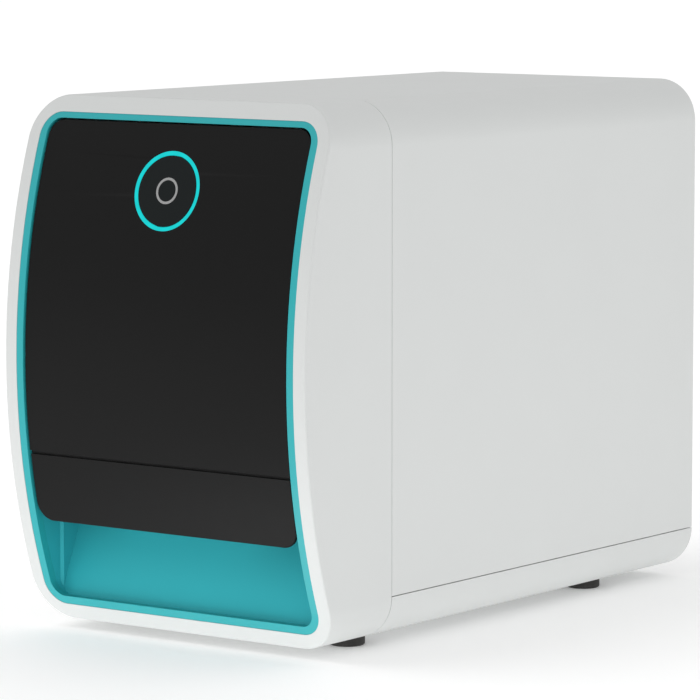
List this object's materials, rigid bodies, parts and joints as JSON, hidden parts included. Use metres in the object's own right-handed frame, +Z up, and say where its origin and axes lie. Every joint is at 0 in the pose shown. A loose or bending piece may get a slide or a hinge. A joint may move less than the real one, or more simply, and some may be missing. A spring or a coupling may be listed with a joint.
{
  "type": "flatbed uv printer",
  "caption": "Compact desktop flatbed UV printer: round-edged white case, bowed black door and drawer front, teal trim and finger scoop, slide-out bed under a lifting print gantry.",
  "frame": {"origin": "on the floor under the middle of the case's outer box", "axes": "+Z up, the bowed front faces -Y, +X to the right as seen from the front"},
  "size_m": [0.284, 0.526, 0.408],
  "materials": {
    "white_shell": "fine satin white plastic",
    "rear_panel": "fine powder coat, pale grey",
    "teal_trim": "semi-gloss teal",
    "teal_scoop": "satin teal",
    "black_frame": "matt black moulding",
    "foot_rubber": "soft black rubber",
    "screw_steel": "zinc-plated",
    "black_front": "smooth black, semi-gloss",
    "housing_black": "matt black",
    "light_ring": "lit translucent cyan",
    "mark_grey": "pale grey inlay",
    "chassis_zinc": "zinc-coated sheet",
    "deck_black": "black powder coat",
    "rail_steel": "ground steel",
    "block_steel": "machined steel with dark end caps",
    "plate_aluminium": "clear anodised",
    "table_black": "black anodised",
    "motor_black": "black laminations, grey caps",
    "belt_rubber": "toothed rubber belt",
    "pulley_alu": "machined",
    "screw_polished": "rolled thread",
    "bush_brass": "turned brass",
    "beam_alu": "extruded, clear anodised",
    "carriage_grey": "grey powder coat",
    "head_dark": "dark grey moulding",
    "lamp_alu": "finned, dark anodised",
    "station_black": "matt black moulding",
    "cap_rubber": "soft cap rubber",
    "wiper_rubber": "thin rubber blade",
    "ink_cyan": "translucent tank, cyan ink",
    "ink_magenta": "translucent tank, magenta ink",
    "ink_yellow": "translucent tank, yellow ink",
    "ink_black": "translucent tank, black ink",
    "supply_zinc": "perforated zinc-coated case",
    "board_green": "green board with parts",
    "fan_black": "black moulding",
    "inlet_black": "black moulding",
    "rocker_black": "black rocker",
    "port_steel": "nickel shell"
  },
  "bodies": {
    "printer": {"front_bezel": "white_shell", "main_cover": "white_shell", "base_pan": "white_shell", "rear_panel": "rear_panel", "trim_ring": "teal_trim", "finger_scoop": "teal_scoop", "front_frame": "black_frame", "feet": "foot_rubber", "case_screws": "screw_steel", "hinge_pins": "screw_steel", "chassis_tray": "chassis_zinc", "side_frame_left": "chassis_zinc", "side_frame_right": "chassis_zinc", "deck_plate": "deck_black", "tank_shelf": "chassis_zinc", "bed_rails": "rail_steel", "bed_motor": "motor_black", "bed_belt": "belt_rubber", "guide_rods": "rail_steel", "lift_motors": "motor_black", "cap_station": "station_black", "wiper_blade": "wiper_rubber", "ink_tank_1": "ink_cyan", "ink_tank_2": "ink_magenta", "ink_tank_3": "ink_yellow", "ink_tank_4": "ink_black", "power_supply": "supply_zinc", "main_board": "board_green", "fan_frame": "fan_black", "mains_inlet": "inlet_black", "data_port": "port_steel"},
    "door": {"door_panel": "black_front", "button_housing": "housing_black", "light_ring": "light_ring"},
    "button": {"power_button": "black_front", "button_mark": "mark_grey"},
    "bed": {"bed_plate": "plate_aluminium", "bed_blocks": "block_steel", "flat_table": "table_black", "drawer_front": "black_front", "drawer_bracket": "plate_aluminium"},
    "bed_drive": {"bed_pulley": "pulley_alu"},
    "bed_return": {"bed_idler": "pulley_alu"},
    "gantry": {"gantry_beam": "beam_alu", "lift_bushes": "bush_brass", "carriage_rail": "rail_steel", "carriage_motor": "motor_black", "carriage_belt": "belt_rubber"},
    "left_screw": {"lift_screw_left": "screw_polished"},
    "right_screw": {"lift_screw_right": "screw_polished"},
    "carriage": {"carriage_frame": "carriage_grey", "carriage_block": "block_steel", "print_head": "head_dark", "uv_lamp": "lamp_alu"},
    "carriage_drive": {"carriage_pulley": "pulley_alu"},
    "carriage_return": {"carriage_idler": "pulley_alu"},
    "cap": {"cap_tray": "cap_rubber"},
    "fan": {"fan_rotor": "fan_black"},
    "rocker": {"power_switch": "rocker_black"}
  },
  "joints": [
    {"name": "door_hinge", "type": "hinge", "parent": "printer", "child": "door", "pos_m": [0, -0.22608, 0.3753], "axis": [-1, 0, 0], "range_deg": [0, 85]},
    {"name": "power_button_press", "type": "slide", "parent": "door", "child": "button", "axis": [0, 0.9649, -0.2626], "range_m": [0, 0.0015], "stiffness_N_per_m": 1200, "springref_m": -0.0006},
    {"name": "bed_slide", "type": "slide", "parent": "printer", "child": "bed", "axis": [0, -1, 0], "range_m": [0, 0.25]},
    {"name": "bed_pulley_turn", "type": "hinge", "parent": "printer", "child": "bed_drive", "pos_m": [-0.014, 0.228, 0.084], "axis": [0, 0, 1], "range_deg": [-5, 1638]},
    {"name": "bed_idler_turn", "type": "hinge", "parent": "printer", "child": "bed_return", "pos_m": [-0.014, -0.176, 0.084], "axis": [0, 0, 1], "range_deg": [-5, 1638]},
    {"name": "gantry_lift", "type": "slide", "parent": "printer", "child": "gantry", "axis": [0, 0, 1], "range_m": [0, 0.024]},
    {"name": "lift_screw_left_turn", "type": "hinge", "parent": "printer", "child": "left_screw", "pos_m": [-0.117, -0.097, 0.084], "axis": [0, 0, 1], "range_deg": [-5, 1090]},
    {"name": "lift_screw_right_turn", "type": "hinge", "parent": "printer", "child": "right_screw", "pos_m": [0.117, -0.097, 0.084], "axis": [0, 0, 1], "range_deg": [-5, 1090]},
    {"name": "carriage_slide", "type": "slide", "parent": "gantry", "child": "carriage", "axis": [-1, 0, 0], "range_m": [0, 0.175]},
    {"name": "carriage_pulley_turn", "type": "hinge", "parent": "gantry", "child": "carriage_drive", "pos_m": [-0.1, -0.12, 0.183], "axis": [0, 1, 0], "range_deg": [-1149, 5]},
    {"name": "carriage_idler_turn", "type": "hinge", "parent": "gantry", "child": "carriage_return", "pos_m": [0.117, -0.12, 0.183], "axis": [0, 1, 0], "range_deg": [-1149, 5]},
    {"name": "cap_drop", "type": "slide", "parent": "printer", "child": "cap", "axis": [0, 0, -1], "range_m": [0, 0.005]},
    {"name": "fan_spin", "type": "hinge", "parent": "printer", "child": "fan", "pos_m": [0.06, 0.255, 0.328], "axis": [0, 1, 0], "continuous": true},
    {"name": "power_switch_rock", "type": "hinge", "parent": "printer", "child": "rocker", "pos_m": [-0.092, 0.248, 0.063], "axis": [1, 0, 0], "range_deg": [0, 14]}
  ],
  "couplings": [
    {"joint": "bed_pulley_turn", "follows": "bed_slide", "rad_per_m": 113.64},
    {"joint": "bed_idler_turn", "follows": "bed_slide", "rad_per_m": 113.64},
    {"joint": "lift_screw_left_turn", "follows": "gantry_lift", "rad_per_m": 785.4},
    {"joint": "lift_screw_right_turn", "follows": "gantry_lift", "rad_per_m": 785.4},
    {"joint": "carriage_pulley_turn", "follows": "carriage_slide", "rad_per_m": -113.64},
    {"joint": "carriage_idler_turn", "follows": "carriage_slide", "rad_per_m": -113.64}
  ]
}
